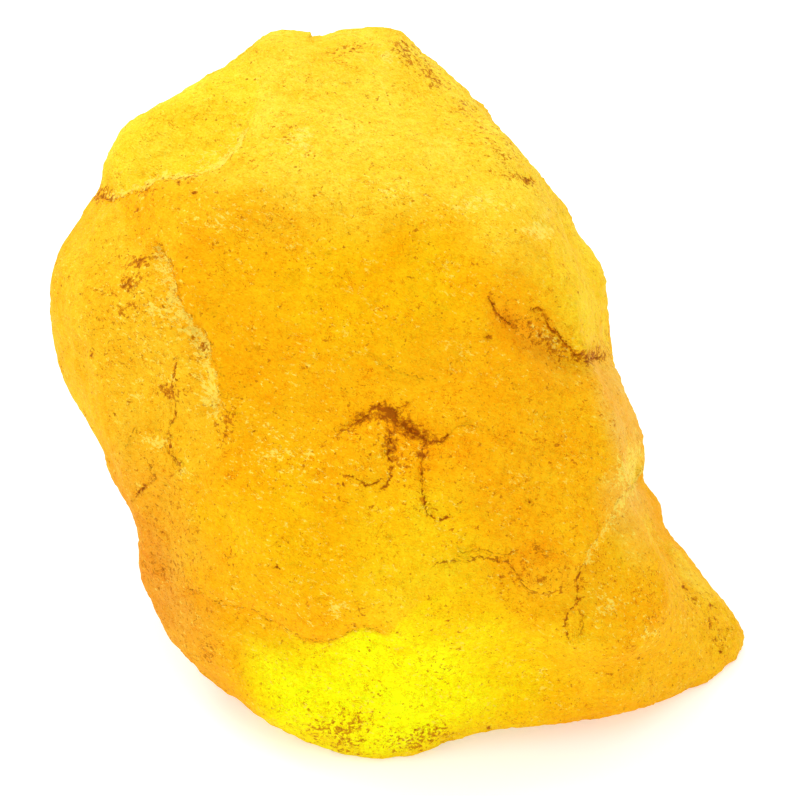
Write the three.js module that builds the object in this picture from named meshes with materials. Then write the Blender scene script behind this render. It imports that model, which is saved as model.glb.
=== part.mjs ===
// A rough yellow sapphire: one broken, water-worn piece of corundum, with fracture faces, ledges,
// shell-shaped scars, open cracks and a flat broken base. Millimetres, +Z up. The origin is under the
// middle of the stone, on the table it rests on. The broad face looks towards -Y and up.
import * as THREE from "three";
import { ImprovedNoise } from "three/addons/math/ImprovedNoise.js";
import { mergeVertices } from "three/addons/utils/BufferGeometryUtils.js";

// ---- Driving dimensions ----
const FACE_TILT = 40; // degrees above the table that the broad face looks
const HEART_HEIGHT = 16; // the heart, from which every radius is measured, above the base
const SIGHT_DISTANCE = 300; // the outline is the one seen from this far along the broad face's axis
const EDGE_SHARPNESS = 26; // a higher power gives less worn edges between the facets
const WANDER = { height: 0.13, length: 0.55, seed: 5.3 }; // how far the facets' edges wander, as a direction
const LUMPS = { height: 0.9, length: 11, seed: 3.1 }; // broad worn swellings
const SWELLS = { height: 0.55, length: 5.2, seed: 9.4 }; // smaller ones
const RIPPLES = { height: 0.28, length: 2.6, seed: 7.7 }; // the broken skin between them
const RAGGED = { height: 0.5, length: 1.7, seed: 12.9 }; // how far a ledge's line wanders
const RIM = { from: 0.8, to: 1.0 }; // the share of the outline's reach where its small notches show
const RIM_BAND = { from: 2, to: 9 }; // depth from the rim over which its bumps fade and its notches wander
const TWIST = { height: 0.1, length: 8, seed: 2.6 }; // how far the notches wander there, in radians
const BUMP_FADE = 0.8; // share of an outline bump that is lost away from the rim
const RIM_GUARD = { from: 0.7, to: 0.98, band: [2, 7] }; // share and depth of the rim that no scar cuts
const COARSE_DETAIL = 9; // subdivisions of the icosahedron that the refining starts from
const MOST_TRIANGLES = 9400;
const SHORTEST_EDGE = 0.4;
const FIRST_ROUND = 0.08; // share of the edges that one round of refining splits
const LAST_ROUND = 0.005;

// ---- Outline that the broad face shows, from the heart: [across, up the face] ----
const OUTLINE = [
  [17.0, 0.0], [17.7, -1.5], [18.0, -3.4], [18.0, -4.6], [17.7, -5.35], [18.5, -6.0], [19.1, -7.0],
  [19.05, -8.0], [19.85, -9.2], [21.4, -10.95], [23.0, -13.25], [24.5, -15.1], [24.8, -16.1],
  [24.5, -17.1], [23.6, -17.8], [22.4, -18.8], [19.85, -19.85], [16.6, -20.9], [12.2, -21.75],
  [7.9, -22.0], [4.5, -22.9], [2.2, -23.9], [0.2, -24.2], [-2.4, -23.9], [-5.0, -22.9], [-8.5, -20.9],
  [-10.6, -19.3], [-12.8, -17.4], [-14.2, -16.1], [-15.4, -13.6], [-16.1, -11.5], [-16.4, -8.9],
  [-16.8, -7.0], [-18.1, -4.6], [-19.2, -2.3], [-20.1, -0.5], [-21.4, 1.9], [-22.1, 4.4], [-22.45, 7.1],
  [-22.1, 9.6], [-21.1, 11.5], [-19.4, 13.9], [-19.0, 14.5], [-18.8, 16.2], [-17.8, 18.2], [-16.5, 19.6],
  [-14.5, 20.7], [-10.7, 22.9], [-8.8, 24.2], [-8.0, 25.0], [-6.6, 25.5], [-5.0, 25.4], [-4.6, 25.0],
  [-2.2, 25.5], [0.1, 25.75], [1.4, 25.4], [2.3, 24.4], [4.1, 22.9], [6.0, 21.2], [7.4, 19.7],
  [9.4, 17.3], [11.2, 15.2], [12.9, 12.8], [14.4, 10.3], [15.3, 8.6], [15.3, 7.6], [15.6, 4.2],
  [15.9, 2.9], [15.8, 2.4],
];

// ---- Facets of the broad side: depth at the heart, and its change per mm across and per mm up the face ----
const FRONT_FACETS = [
  { name: "broad face", depth: 14.0, across: 0.0, up: -0.04 },
  { name: "right of the broad face", depth: 16.6, across: -0.32, up: 0.02 },
  { name: "top band", depth: 27.1, across: -0.283, up: -1.064 },
  { name: "upper right bevel", depth: 38.0, across: -1.35, up: -0.85 },
  { name: "left facet", depth: 23.1, across: 0.734, up: 0.154 },
  { name: "lower left bevel", depth: 29.5, across: 0.95, up: 0.7 },
  { name: "foot wall", depth: 24.8, across: 0.05, up: 0.8 },
  { name: "wing", depth: 21.5, across: -0.44, up: 0.235 },
  { name: "upper left bevel", depth: 30, across: 0.7, up: -0.85 },
];

// ---- Facets of the sides and back: azimuth (0 is -Y, 90 is +X), elevation, distance from the heart ----
const OTHER_FACETS = [
  { name: "back", azimuth: 178, elevation: 14, distance: 20.5 },
  { name: "upper back", azimuth: 190, elevation: 52, distance: 24.0 },
  { name: "back left", azimuth: 231, elevation: 6, distance: 19.6 },
  { name: "upper left", azimuth: 262, elevation: 38, distance: 22.2 },
  { name: "left", azimuth: 283, elevation: -4, distance: 20.8 },
  { name: "back right", azimuth: 134, elevation: 2, distance: 18.8 },
  { name: "upper right", azimuth: 118, elevation: 36, distance: 18.4 },
  { name: "right", azimuth: 86, elevation: 12, distance: 17.2 },
  { name: "right foot", azimuth: 92, elevation: -30, distance: 25.5 },
  { name: "under the back", azimuth: 182, elevation: -38, distance: 20.5 },
  { name: "under the left", azimuth: 262, elevation: -36, distance: 19.0 },
  { name: "under the front", azimuth: 350, elevation: -38, distance: 24.4 },
  { name: "base", azimuth: 0, elevation: -90, distance: 17.0 },
];

// ---- The sides that features are drawn on, each seen from its own direction and distance ----
const SIDES = {
  face: { azimuth: 0, elevation: FACE_TILT, distance: SIGHT_DISTANCE },
  back: { azimuth: 185, elevation: 20, distance: Infinity },
  left: { azimuth: 262, elevation: 5, distance: Infinity },
  right: { azimuth: 98, elevation: 12, distance: Infinity },
};

// ---- Flake scars: oval dishes broken out of the skin, each cut short by a ledge ----
// A ledge is a line right across the side's view, with the lower ground on its right as the line runs.
// A dish has its centre, its two half lengths, the turn of the first one in degrees, and its depth.
const SCARS = [
  {
    name: "upper left scar", side: "face", wall: 0.6,
    dishes: [{ centre: [-13.8, 17.4], radii: [10, 6.5], turn: 27, depth: 1.7 }],
    ledge: [
      [-6.5, 32], [-7.9, 22], [-8.2, 20.8], [-8.7, 19.2], [-9.5, 18.0], [-10.1, 17.0], [-11.4, 16.0],
      [-12.9, 15.4], [-14.8, 15.4], [-15.6, 14.6], [-17.7, 14.1], [-19.2, 13.9], [-30, 12.5],
    ],
  },
  {
    name: "left scar", side: "face", wall: 0.55,
    dishes: [{ centre: [-14.6, 4.0], radii: [5.8, 9.5], turn: 10, depth: 1.25 }],
    ledge: [
      [-22, 22], [-16.5, 12.4], [-15.6, 11.4], [-15.0, 11.0], [-14.4, 10.2], [-14.0, 9.0], [-13.7, 7.5],
      [-12.9, 6.3], [-12.0, 5.2], [-11.6, 4.1], [-11.7, 2.7], [-11.3, 1.4], [-10.7, 0.0], [-10.2, -1.4],
      [-9.8, -3.1], [-9.6, -5.5], [-9, -30],
    ],
  },
  {
    name: "inner left scar", side: "face", wall: 0.5,
    dishes: [{ centre: [-15.9, -0.6], radii: [3.8, 6.2], turn: 0, depth: 0.8 }],
    ledge: [
      [-13.5, 30], [-14.1, 4.2], [-14.2, 2.2], [-14.1, 0.3], [-14.3, -2.0], [-13.9, -4.0], [-13.2, -5.3],
      [-11, -30],
    ],
  },
  {
    name: "lower left scar", side: "face", wall: 0.7,
    dishes: [{ centre: [-15.2, -8.4], radii: [6, 4.4], turn: 0, depth: 1.1 }],
    ledge: [
      [-32, -9], [-17.4, -6.6], [-16.0, -5.9], [-15.0, -5.3], [-13.5, -5.0], [-11.4, -6.4], [-8, -8],
      [30, -8],
    ],
  },
  {
    name: "foot scar", side: "face", wall: 0.6,
    dishes: [{ centre: [-5.0, -17.6], radii: [10.5, 7], turn: -8, depth: 1.5 }],
    ledge: [
      [-32, -9], [-16.1, -11.5], [-14.3, -12.4], [-12.2, -13.4], [-9.5, -13.7], [-7.5, -14.6], [-5.4, -15.8],
      [-4.1, -16.0], [-2.4, -15.4], [-0.5, -15.0], [0.7, -16.0], [2.4, -16.9], [6, -20], [12, -36],
    ],
  },
  {
    name: "plateau's edge over the wing", side: "face", wall: 0.6,
    dishes: [
      { centre: [19.6, -13.0], radii: [9, 9.5], turn: 0, depth: 1.7 },
      { centre: [8.6, -14.8], radii: [8.5, 6.2], turn: 0, depth: 1.0 },
    ],
    ledge: [
      [-30, -11.2], [3.1, -11.2], [3.4, -10.7], [4.8, -10.3], [6.8, -10.1], [8.2, -10.3], [8.7, -10.7],
      [9.0, -11.6], [9.7, -12.2], [10.2, -12.7], [11.2, -12.8], [12.1, -12.4], [12.8, -11.8], [13.3, -11.1],
      [14.3, -9.5], [15.3, -8.0], [16.7, -5.9], [17.7, -4.4], [18.2, -3.4], [20, 2], [28, 30],
    ],
  },
  {
    name: "strip behind the wing", side: "face", wall: 0.9,
    dishes: [{ centre: [22.0, -10.0], radii: [9, 9], turn: 0, depth: 2.4 }],
    ledge: [
      [40, -20], [26, -16.4], [24.3, -15.2], [23.3, -14.1], [22.3, -13.1], [21.2, -11.6], [20.1, -9.9],
      [19.0, -8.3], [18.4, -7.0], [17.5, -5.4], [16, -3], [6, 20],
    ],
  },
  {
    name: "right scar", side: "face", wall: 0.45,
    dishes: [{ centre: [12.4, 3.5], radii: [5.8, 2.1], turn: -36, depth: 1.1 }],
    ledge: [
      [-10, 26], [9.6, 7.2], [10.5, 6.6], [11.2, 6.3], [11.4, 5.6], [12.2, 4.8], [13.3, 3.7], [14.3, 3.3],
      [15.8, 3.1], [36, 2.6],
    ],
  },
  {
    name: "back scar", side: "back", wall: 0.8,
    dishes: [{ centre: [-3.5, 6.5], radii: [10, 7.5], turn: 24, depth: 1.9 }],
    ledge: [
      [36, -2], [11, -1.4], [8.4, 0.2], [5.2, -0.6], [2.6, -2.0], [-0.8, -1.6], [-4.0, -3.0], [-7.6, -1.2],
      [-9.4, 1.0], [-13, 2.0], [-36, 6],
    ],
  },
  {
    name: "lower back scar", side: "back", wall: 0.6,
    dishes: [{ centre: [7.5, -9.5], radii: [7.5, 6], turn: -15, depth: 1.1 }],
    ledge: [
      [-36, -3], [0.5, -5.2], [2.2, -4.6], [4.6, -5.6], [6.4, -5.0], [9.6, -6.4], [12, -5.6], [36, -10],
    ],
  },
  {
    name: "left side scar", side: "left", wall: 0.7,
    dishes: [{ centre: [-3.5, -3.0], radii: [8.5, 6], turn: 35, depth: 1.4 }],
    ledge: [
      [-30, 22], [-8.5, 6.2], [-6.0, 5.2], [-4.6, 3.2], [-2.0, 2.6], [-0.4, 0.6], [2.4, 0.2], [4.6, -2.6],
      [7.5, -4], [30, -16],
    ],
  },
  {
    name: "upper right scar", side: "right", wall: 0.7,
    dishes: [{ centre: [8.0, 4.0], radii: [8, 5.5], turn: -40, depth: 1.5 }],
    ledge: [
      [30, -18], [15.5, -3.5], [13.2, -2.4], [11.6, 0.4], [9.0, 1.0], [7.4, 3.4], [4.2, 4.6], [2.4, 7.4],
      [0, 10], [-16, 30],
    ],
  },
];

// ---- Open cracks: a line on one side's view, with its depth and half width ----
const CRACKS = [
  { name: "crack into the right scar", side: "face", depth: 0.6, width: 0.4,
    line: [[7.3, 7.1], [8.2, 5.8], [9.5, 4.8], [10.5, 4.1], [11.6, 3.4], [13.3, 3.0], [15.6, 3.0]] },
  { name: "left arm of the stained crack", side: "face", depth: 0.6, width: 0.55,
    line: [[-3.3, -2.0], [-1.6, -1.1], [0.2, -0.1]] },
  { name: "right arm of the stained crack", side: "face", depth: 0.65, width: 0.6,
    line: [[0.2, -0.1], [1.2, -1.0], [2.7, -2.2], [4.0, -2.1], [5.3, -1.6]] },
  { name: "left leg of the stained crack", side: "face", depth: 0.4, width: 0.35,
    line: [[0.3, -0.6], [0.6, -3.1], [0.5, -4.8], [-0.3, -6.1]] },
  { name: "right leg of the stained crack", side: "face", depth: 0.4, width: 0.3,
    line: [[2.8, -2.2], [2.7, -4.4], [3.1, -6.7], [4.1, -7.7], [5.4, -6.9]] },
  { name: "crack below the plateau", side: "face", depth: 0.5, width: 0.35,
    line: [[13.6, -10.7], [13.3, -12.6], [13.5, -14.1], [13.2, -15.2], [12.8, -16.2]] },
  { name: "long crack of the back", side: "back", depth: 0.6, width: 0.4,
    line: [[-12, -6.5], [-9.4, -5.2], [-7.8, -6.2], [-4.6, -4.4], [-2.6, -5.4], [0.4, -4.6]] },
  { name: "crack of the left side", side: "left", depth: 0.5, width: 0.4,
    line: [[8.5, 9.0], [6.6, 6.4], [6.9, 3.6], [4.2, 1.2]] },
];

// ---- Frames: a side's own across, up and outward directions ----
const HEART = new THREE.Vector3(0, 0, HEART_HEIGHT);

function outwardOf({ azimuth, elevation }) {
  const az = THREE.MathUtils.degToRad(azimuth);
  const el = THREE.MathUtils.degToRad(elevation);
  return new THREE.Vector3(Math.sin(az) * Math.cos(el), -Math.cos(az) * Math.cos(el), Math.sin(el));
}

function frameOf(side) {
  const out = outwardOf(side);
  const across = new THREE.Vector3(0, 0, 1).cross(out).normalize();
  const up = out.clone().cross(across);
  return new THREE.Matrix4().makeBasis(across, up, out);
}

const FACE_FRAME = frameOf(SIDES.face);
const INTO_FACE_FRAME = FACE_FRAME.clone().invert();

// ---- Worn polyhedron: the facets joined by a power mean, which rounds the edges between them ----
const PLANES = [
  ...FRONT_FACETS.map(({ depth, across, up }) => {
    const normal = new THREE.Vector3(-across, -up, 1);
    return { distance: depth / normal.length(), normal: normal.normalize().applyMatrix4(FACE_FRAME) };
  }),
  ...OTHER_FACETS.map((facet) => ({ distance: facet.distance, normal: outwardOf(facet) })),
];

const perlin = new ImprovedNoise();

function noiseAt(p, { height, length, seed }) {
  return height * perlin.noise(p.x / length + seed, p.y / length - seed, p.z / length + seed / 2);
}

function wandered({ x, y, z }) {
  const push = (a, b, c) => noiseAt({ x: a, y: b, z: c }, WANDER);
  return new THREE.Vector3(x + push(x, y, z), y + push(y, z, x), z + push(z, x, y)).normalize();
}

function wornSkin(direction) {
  const facing = wandered(direction);
  let sum = 0;
  for (const { normal, distance } of PLANES) {
    sum += Math.max(0, facing.dot(normal) / distance) ** EDGE_SHARPNESS;
  }
  const skin = direction.clone().multiplyScalar(sum ** (-1 / EDGE_SHARPNESS));
  const swelling = noiseAt(skin, LUMPS) + noiseAt(skin, SWELLS) + noiseAt(skin, RIPPLES);
  return skin.addScaledVector(direction, swelling);
}

// ---- Stretch across the broad face, which gives the stone its outline ----
const TURN = 2 * Math.PI;
const OUTLINE_STEPS = 720;
const NOTCH_BLUR = 14; // steps on each side over which the gentle stretch is averaged
const LEAN_STEP = 0.03; // radians between the directions tried for the rim

function outlineReach(angle) {
  const [dx, dy] = [Math.cos(angle), Math.sin(angle)];
  let reach = 0;
  OUTLINE.forEach(([x0, y0], i) => {
    const [x1, y1] = OUTLINE[(i + 1) % OUTLINE.length];
    const [ex, ey] = [x1 - x0, y1 - y0];
    const cross = dx * ey - dy * ex;
    const along = (x0 * dy - y0 * dx) / cross;
    if (along >= 0 && along <= 1) {
      reach = Math.max(reach, (x0 * ey - y0 * ex) / cross);
    }
  });
  return reach;
}

function sightReach(q) {
  return Math.hypot(q.x, q.y) / (1 - q.z / SIGHT_DISTANCE);
}

// The unstretched skin's reach at an angle, among the points that lie above the base once stretched.
function bareRim(angle) {
  const outline = outlineReach(angle);
  let rim = { reach: 0, depth: 0 };
  for (let lean = LEAN_STEP / 2; lean < Math.PI; lean += LEAN_STEP) {
    const direction = new THREE.Vector3().setFromSphericalCoords(1, lean, 0);
    direction.set(Math.cos(angle) * direction.z, Math.sin(angle) * direction.z, direction.y);
    const skin = wornSkin(direction.applyMatrix4(FACE_FRAME)).applyMatrix4(INTO_FACE_FRAME);
    const reach = sightReach(skin);
    const stretched = new THREE.Vector3(0, (skin.y * outline) / reach, skin.z).applyMatrix4(FACE_FRAME);
    if (stretched.z > -HEART_HEIGHT && reach > rim.reach) {
      rim = { reach, depth: skin.z };
    }
  }
  return { ...rim, outline };
}

const stretches = Array.from({ length: OUTLINE_STEPS }, (_, i) => {
  const { reach, depth, outline } = bareRim((TURN * i) / OUTLINE_STEPS);
  return { bare: reach, bareDepth: depth, full: outline / reach };
});

function blurred(i, key) {
  let sum = 0;
  let weights = 0;
  for (let k = -2 * NOTCH_BLUR; k <= 2 * NOTCH_BLUR; k++) {
    const weight = Math.exp(-((k / NOTCH_BLUR) ** 2));
    sum += weight * stretches[(i + k + OUTLINE_STEPS) % OUTLINE_STEPS][key];
    weights += weight;
  }
  return sum / weights;
}

stretches.forEach((entry, i) => {
  entry.gentle = blurred(i, "full");
  entry.depth = blurred(i, "bareDepth");
});

function stretchAt(angle, key) {
  const place = (angle / TURN + 1) * OUTLINE_STEPS;
  const i = Math.floor(place);
  const [a, b] = [stretches[i % OUTLINE_STEPS], stretches[(i + 1) % OUTLINE_STEPS]];
  return THREE.MathUtils.lerp(a[key], b[key], place - i);
}

function stretchToOutline(skin) {
  const q = skin.clone().applyMatrix4(INTO_FACE_FRAME);
  const bareAngle = Math.atan2(q.y, q.x);
  const offRim = Math.abs(q.z - stretchAt(bareAngle, "depth"));
  const away = THREE.MathUtils.smoothstep(offRim, RIM_BAND.from, RIM_BAND.to);
  const angle = bareAngle + away * noiseAt(q, TWIST);
  const [gentle, full] = [stretchAt(angle, "gentle"), stretchAt(angle, "full")];
  const share = sightReach(q) / stretchAt(bareAngle, "bare");
  const bump = full > gentle ? 1 - BUMP_FADE * away : 1;
  const atRim = bump * THREE.MathUtils.smoothstep(share, RIM.from, RIM.to);
  const stretch = THREE.MathUtils.lerp(gentle, full, atRim);
  q.x *= stretch;
  q.y *= stretch;
  return q.applyMatrix4(FACE_FRAME);
}

// ---- Scars and cracks ----
const FACING = [-4, 3]; // outward depth over which a side's features come in
const CRACK_END = { share: 0.3, taper: 2 }; // a crack's depth at its tips, and how far in it is whole
const SIDE_FRAMES = Object.entries(SIDES).map(([name, side]) => {
  const out = frameOf(side);
  return {
    out,
    into: out.clone().invert(),
    distance: side.distance,
    scars: SCARS.filter((scar) => scar.side === name),
    cracks: CRACKS.filter((crack) => crack.side === name),
  };
});

// The nearest point of an open line: how far off, on which side (right is positive), and how far along.
function besideLine(line, x, y) {
  let best = { off: Infinity };
  let run = 0;
  for (let i = 0; i + 1 < line.length; i++) {
    const [x0, y0] = line[i];
    const [ex, ey] = [line[i + 1][0] - x0, line[i + 1][1] - y0];
    const length = Math.hypot(ex, ey);
    const t = THREE.MathUtils.clamp(((x - x0) * ex + (y - y0) * ey) / length ** 2, 0, 1);
    const [rx, ry] = [x - x0 - t * ex, y - y0 - t * ey];
    const off = Math.hypot(rx, ry);
    if (off < best.off) {
      best = { off, side: Math.sign((x - x0) * ey - (y - y0) * ex), along: run + t * length };
    }
    run += length;
  }
  return { ...best, length: run };
}

function dishDepth({ centre, radii, turn, depth }, { x, y }) {
  const angle = THREE.MathUtils.degToRad(turn);
  const [dx, dy] = [x - centre[0], y - centre[1]];
  const first = (dx * Math.cos(angle) + dy * Math.sin(angle)) / radii[0];
  const second = (dy * Math.cos(angle) - dx * Math.sin(angle)) / radii[1];
  return depth * Math.max(0, 1 - first ** 2 - second ** 2);
}

function scarDepth({ ledge, wall, dishes }, seen) {
  const deepest = Math.max(...dishes.map((dish) => dishDepth(dish, seen)));
  if (deepest === 0) {
    return 0;
  }
  const { off, side } = besideLine(ledge, seen.x, seen.y);
  const beside = side * off + noiseAt(seen, RAGGED);
  return deepest * THREE.MathUtils.smoothstep(beside, -wall / 2, wall / 2);
}

function crackDepth({ line, width, depth }, { x, y }) {
  const { off, along, length } = besideLine(line, x, y);
  const inside = THREE.MathUtils.smoothstep(Math.min(along, length - along), 0, CRACK_END.taper);
  return depth * Math.exp(-((off / width) ** 2)) * THREE.MathUtils.lerp(CRACK_END.share, 1, inside);
}

// 1 on the rim that gives the stone its outline, 0 away from it.
function rimShare(skin) {
  const q = skin.clone().applyMatrix4(INTO_FACE_FRAME);
  const angle = Math.atan2(q.y, q.x);
  const share = sightReach(q) / (stretchAt(angle, "bare") * stretchAt(angle, "full"));
  const off = Math.abs(q.z - stretchAt(angle, "depth"));
  const atDepth = 1 - THREE.MathUtils.smoothstep(off, ...RIM_GUARD.band);
  return atDepth * THREE.MathUtils.smoothstep(share, RIM_GUARD.from, RIM_GUARD.to);
}

function carve(skin) {
  const free = 1 - rimShare(skin);
  for (const { out, into, distance, scars, cracks } of SIDE_FRAMES) {
    const q = skin.clone().applyMatrix4(into);
    const facing = THREE.MathUtils.smoothstep(q.z, ...FACING);
    if (facing > 0) {
      const near = 1 - q.z / distance;
      const seen = new THREE.Vector3(q.x / near, q.y / near, q.z);
      const lost = [
        ...scars.map((scar) => scarDepth(scar, seen)),
        ...cracks.map((crack) => crackDepth(crack, seen)),
      ];
      q.z -= free * facing * lost.reduce((sum, depth) => sum + depth, 0);
    }
    skin = q.applyMatrix4(out);
  }
  return skin;
}

// ---- The skin in a direction from the heart, in the part's frame, broken off flat at the base ----
function skinAt(direction) {
  const p = carve(stretchToOutline(wornSkin(direction)));
  if (p.z < -HEART_HEIGHT) {
    p.multiplyScalar(-HEART_HEIGHT / p.z);
    p.z = -HEART_HEIGHT;
  }
  return p.add(HEART);
}

// ---- Refined sphere: edges whose middle lies furthest from the skin are halved first ----
class RefinedSkin {
  constructor(detail) {
    const ball = new THREE.IcosahedronGeometry(1, detail);
    ball.deleteAttribute("normal");
    ball.deleteAttribute("uv");
    const merged = mergeVertices(ball);
    const corners = merged.getAttribute("position");
    this.directions = [];
    this.points = [];
    for (let i = 0; i < corners.count; i++) {
      this.addPoint(new THREE.Vector3().fromBufferAttribute(corners, i).normalize());
    }
    this.triangles = [];
    for (let i = 0; i < merged.index.count; i += 3) {
      this.triangles.push([merged.index.getX(i), merged.index.getX(i + 1), merged.index.getX(i + 2)]);
    }
    this.edges = new Map();
  }

  addPoint(direction) {
    this.directions.push(direction);
    this.points.push(skinAt(direction));
    return this.points.length - 1;
  }

  edge(a, b) {
    const key = a < b ? `${a} ${b}` : `${b} ${a}`;
    if (!this.edges.has(key)) {
      const direction = this.directions[a].clone().add(this.directions[b]).normalize();
      const skin = skinAt(direction);
      const chord = this.points[a].clone().lerp(this.points[b], 0.5);
      const length = this.points[a].distanceTo(this.points[b]);
      this.edges.set(key, { direction, length, error: chord.distanceTo(skin), middle: null });
    }
    return this.edges.get(key);
  }

  sides([a, b, c]) {
    return [this.edge(a, b), this.edge(b, c), this.edge(c, a)];
  }

  // Marks the worst edges, and with each of them the longest side of its triangles, so that no sliver grows.
  markWorst(count) {
    const all = new Set(this.triangles.flatMap((t) => this.sides(t)));
    const worst = [...all].filter((e) => e.length > SHORTEST_EDGE).sort((e, f) => f.error - e.error);
    const marked = new Set(worst.slice(0, count));
    for (let grown = true; grown; ) {
      grown = false;
      for (const t of this.triangles) {
        const sides = this.sides(t);
        const longest = sides.reduce((e, f) => (f.length > e.length ? f : e));
        if (sides.some((e) => marked.has(e)) && !marked.has(longest)) {
          marked.add(longest);
          grown = true;
        }
      }
    }
    return marked;
  }

  split(marked) {
    marked.forEach((e) => {
      e.middle = this.addPoint(e.direction);
    });
    this.triangles = this.triangles.flatMap((t) => {
      const middles = this.sides(t).map((e) => e.middle);
      return splitTriangle(t, middles);
    });
  }

  // Each split edge adds two triangles. The rounds get smaller as the limit nears.
  refineTo(mostTriangles) {
    let share = FIRST_ROUND;
    while (share > LAST_ROUND) {
      const marked = this.markWorst(Math.round(this.triangles.length * share));
      if (this.triangles.length + 2 * marked.size > mostTriangles) {
        share /= 2;
      } else {
        this.split(marked);
      }
    }
  }

  geometry() {
    const made = new THREE.BufferGeometry().setFromPoints(this.points);
    made.setIndex(this.triangles.flat());
    made.computeVertexNormals();
    return made;
  }
}

// The pieces of a triangle whose sides ab, bc and ca have middles, or null where they aren't split.
function splitTriangle([a, b, c], [ab, bc, ca]) {
  const count = [ab, bc, ca].filter((m) => m !== null).length;
  if (count === 0) {
    return [[a, b, c]];
  }
  if (count === 3) {
    return [[a, ab, ca], [ab, b, bc], [ca, bc, c], [ab, bc, ca]];
  }
  if (count === 1) {
    if (ab !== null) {
      return [[a, ab, c], [ab, b, c]];
    }
    return bc !== null ? splitTriangle([b, c, a], [bc, ca, ab]) : splitTriangle([c, a, b], [ca, ab, bc]);
  }
  if (ca !== null) {
    return ab !== null ? splitTriangle([c, a, b], [ca, ab, bc]) : splitTriangle([b, c, a], [bc, ca, ab]);
  }
  return [[a, ab, bc], [ab, b, bc], [a, bc, c]];
}

// ---- The stone ----
const skin = new RefinedSkin(COARSE_DETAIL);
skin.refineTo(MOST_TRIANGLES);
const geometry = skin.geometry();
geometry.computeBoundingBox();
const middle = geometry.boundingBox.getCenter(new THREE.Vector3());
geometry.translate(-middle.x, -middle.y, 0);

const stone = new THREE.Mesh(
  geometry,
  new THREE.MeshStandardMaterial({ color: 0xf2a916, roughness: 0.6, metalness: 0 }),
);
stone.name = "rough_sapphire";

const group = new THREE.Group();
group.add(stone);
export default group;
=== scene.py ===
# The rough yellow sapphire on a white studio floor. The imported solid gives the stone its size and its
# main shapes. This script gives it the fine broken skin, the open cracks, the stains and the colour zones,
# some of which are painted light and shade.
import math

import bmesh
import bpy
import numpy as np
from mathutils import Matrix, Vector, noise


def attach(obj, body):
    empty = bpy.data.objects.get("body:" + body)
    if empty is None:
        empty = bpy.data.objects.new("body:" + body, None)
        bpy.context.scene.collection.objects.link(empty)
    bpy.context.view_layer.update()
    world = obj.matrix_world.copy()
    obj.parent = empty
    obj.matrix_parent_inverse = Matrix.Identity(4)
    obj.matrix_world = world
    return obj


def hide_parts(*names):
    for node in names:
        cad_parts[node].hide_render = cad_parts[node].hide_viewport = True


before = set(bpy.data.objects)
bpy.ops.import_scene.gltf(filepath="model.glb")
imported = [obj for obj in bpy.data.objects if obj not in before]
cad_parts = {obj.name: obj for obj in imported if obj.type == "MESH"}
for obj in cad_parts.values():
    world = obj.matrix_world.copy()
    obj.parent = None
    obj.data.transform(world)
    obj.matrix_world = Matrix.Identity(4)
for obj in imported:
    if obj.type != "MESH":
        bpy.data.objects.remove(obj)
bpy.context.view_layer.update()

MM = 0.001  # metres in a millimetre
NODE = "rough_sapphire"

# ---- The broad face's view: places on it are [across, up the face] in millimetres from the heart ----
# The heart is the point that the solid's facets are measured from, given in mm in the frame. The solid is
# centred by its box, so the heart lies a little off the middle.
HEART = np.array([-1.4709, -1.8712, 16.0])
FACE_TILT = 40  # degrees that the broad face looks above the table
SIGHT_DISTANCE = 300.0  # mm from the heart, where the face is seen from

# ---- The photograph's frame ----
IMAGE_SIZE = (794, 796)
HEART_PIXEL = (380, 405)
MM_PER_PIXEL = 0.068  # at the heart
SENSOR = 36.0  # mm

# ---- The studio: metres and watts ----
WORLD_LIGHT = 1.15
FLOOR_GLOW = 0.3  # the photograph is over-exposed, as on a light table
FLOOR_SIZE = 3.0
FLOOR_GAP = 0.02 * MM  # keeps the floor off the stone's base
SOFT_BOX_PLACE = (-0.25, 0.25, 0.55)
SOFT_BOX_SIZE = 0.45
SOFT_BOX_POWER = 2.0

# ---- The mesh ----
VOXEL = 0.36  # mm, of the even mesh that the relief is cut into
SEAM_BAND = 0.32  # mm, on each side of a seam, where the mesh is finer
SEAM_CUTS = 3
WING_CREASE = (18.5, -12.0), (3.0, 6.5), 10  # an oval on the face: centre, half lengths, turn
CREASE_FADE = (0.7, 1.3)  # of the way out to the oval's edge, over which the softening ends
CREASE_PASSES = 80

# ---- The relief, in mm ----
SWELL = 0.2  # makes up for what the smoothing takes
LUMPS = [(0.09, 1.5, 21.3, 3), (0.10, 4.0, 5.9, 2)]  # height, length, seed and octaves of a noise
FLAKE_LENGTH = 3.4
FLAKE_HEIGHT = 0.14
FLAKE_STEPS = 5  # for one unit of the noise
FLAKE_FLAT = 0.8  # the share of a step that is flat, before its edge
FLAKE_FALL = 0.8  # the share of the climb that the flats give back
PIT_LENGTH = 1.3
PIT_DEPTH = 0.12
PIT_LEVELS = (0.38, 0.6)  # of the noise, where a pit begins and where it is deepest
GROOVE_EXTRA = 0.04  # added to a groove's half width, so that the mesh can hold it
GROOVE_SHARE = 0.3  # how much of its depth a groove has on average
GROOVE_CHANGE = 0.5  # how much more or less of it a groove has from place to place, at most
GROOVE_CHANGE_LENGTH = 0.7
STEP_RUN = (0.3, 2.2)  # off a ledge, over which its low ground rises back
STEP_WALL = 0.12  # half the width of a ledge's wall
BASE_HEIGHTS = (0.05, 1.5)  # over which the relief grows from its share on the base to the full
BASE_SHARE = 0.25
LINE_WANDER = 0.16
SEAM_END = 0.8  # over which a seam fades in from its ends
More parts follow.
